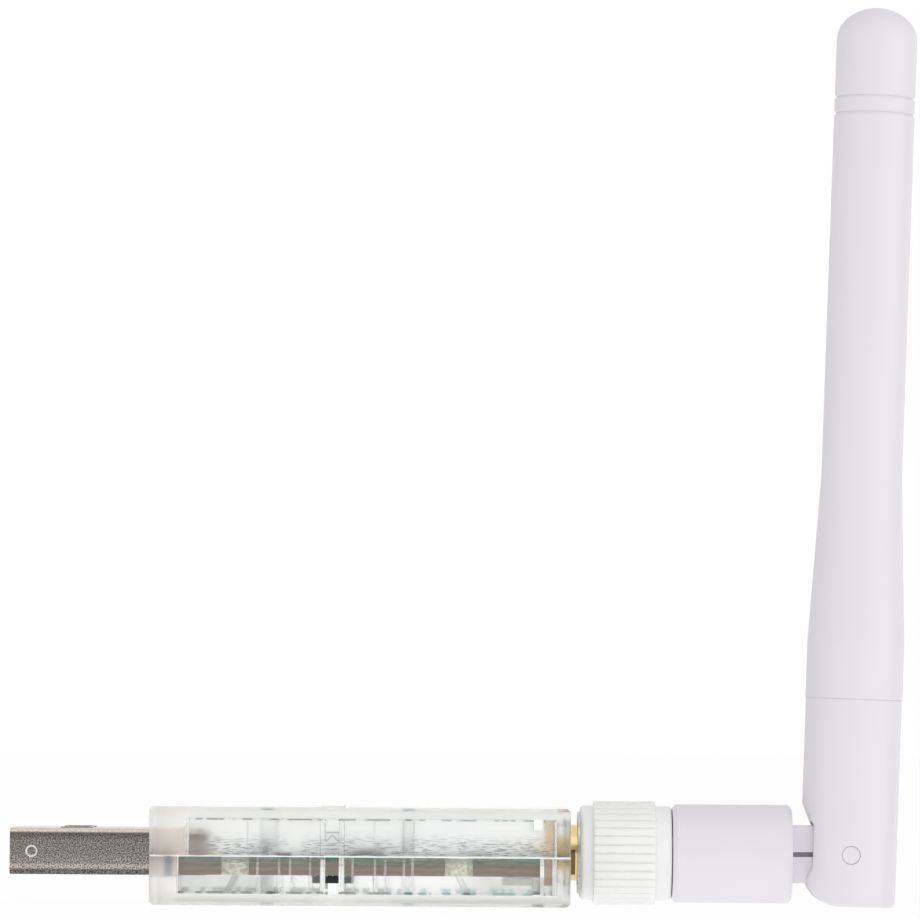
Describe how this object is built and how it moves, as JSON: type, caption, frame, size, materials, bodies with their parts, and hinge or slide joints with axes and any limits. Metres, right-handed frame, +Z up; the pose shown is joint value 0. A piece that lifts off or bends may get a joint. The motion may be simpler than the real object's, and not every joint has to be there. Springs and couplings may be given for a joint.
{
  "type": "usb radio stick",
  "caption": "USB radio stick for smart home control, in a clear case, with a gold coaxial jack and a white rod antenna that unscrews, swivels and tilts.",
  "frame": {"origin": "centre of the USB plug's axis where it leaves the case's front face", "axes": "+X from the plug to the antenna, +Z up along the upright mast, +Y across the case"},
  "size_m": [0.0881, 0.018, 0.0883],
  "materials": {
    "clear_case": "clear moulded polycarbonate, polished",
    "plug_steel": "nickel-plated steel sheet, fine speckle",
    "plug_plastic": "black moulded insulator",
    "board": "solder mask over glass fibre board",
    "chip": "black moulded package",
    "capacitor": "ceramic body",
    "resistor": "thick film body",
    "can_metal": "tinned metal lid",
    "led": "cast resin body",
    "gold": "gold plated brass",
    "dielectric": "turned fluoropolymer",
    "connector_metal": "nickel-plated brass",
    "seal": "silicone ring",
    "spring_metal": "beryllium copper ring",
    "nut_white": "white moulded plastic, satin",
    "insert_metal": "nickel-plated brass",
    "antenna_white": "white moulded plastic, satin",
    "cable": "thin coaxial cable",
    "dipole_brass": "drawn brass tube",
    "radiator_copper": "tinned copper wire"
  },
  "bodies": {
    "stick": {"upper_shell": "clear_case", "lower_shell": "clear_case", "usb_shell": "plug_steel", "usb_insulator": "plug_plastic", "usb_contact_1": "gold", "usb_contact_2": "gold", "usb_contact_3": "gold", "usb_contact_4": "gold", "circuit_board": "board", "radio_chip": "chip", "usb_bridge_chip": "chip", "voltage_regulator": "chip", "bulk_capacitor": "capacitor", "crystal": "can_metal", "rf_filter": "capacitor", "indicator_led": "led", "capacitors": "capacitor", "resistors": "resistor", "jack_body": "gold", "jack_dielectric": "dielectric", "jack_contact": "gold"},
    "connector": {"plug_ferrule": "connector_metal", "plug_dielectric": "dielectric", "plug_pin": "gold", "seal_ring": "seal", "retaining_ring": "spring_metal"},
    "nut": {"nut_sleeve": "nut_white", "nut_insert": "insert_metal"},
    "barrel": {"swivel_barrel": "antenna_white", "cable_in_barrel": "cable"},
    "mast": {"antenna_base": "antenna_white", "antenna_sleeve": "antenna_white", "hinge_pin": "antenna_white", "cable_in_mast": "cable", "dipole_tube": "dipole_brass", "radiator_wire": "radiator_copper"}
  },
  "joints": [
    {"name": "antenna_unscrew", "type": "slide", "parent": "stick", "child": "connector", "axis": [1, 0, 0], "range_m": [0, 0.00494]},
    {"name": "nut_turn", "type": "hinge", "parent": "connector", "child": "nut", "pos_m": [0.046, 0, 0.0001], "axis": [1, 0, 0], "range_deg": [0, 2520]},
    {"name": "antenna_swivel", "type": "hinge", "parent": "connector", "child": "barrel", "pos_m": [0.052, 0, 0.0001], "axis": [1, 0, 0], "continuous": true},
    {"name": "antenna_tilt", "type": "hinge", "parent": "barrel", "child": "mast", "pos_m": [0.0681, 0, 0.0001], "axis": [0, 1, 0], "range_deg": [-1.75, 88.25]}
  ],
  "couplings": [
    {"joint": "nut_turn", "follows": "antenna_unscrew", "rad_per_m": 8905.3}
  ]
}
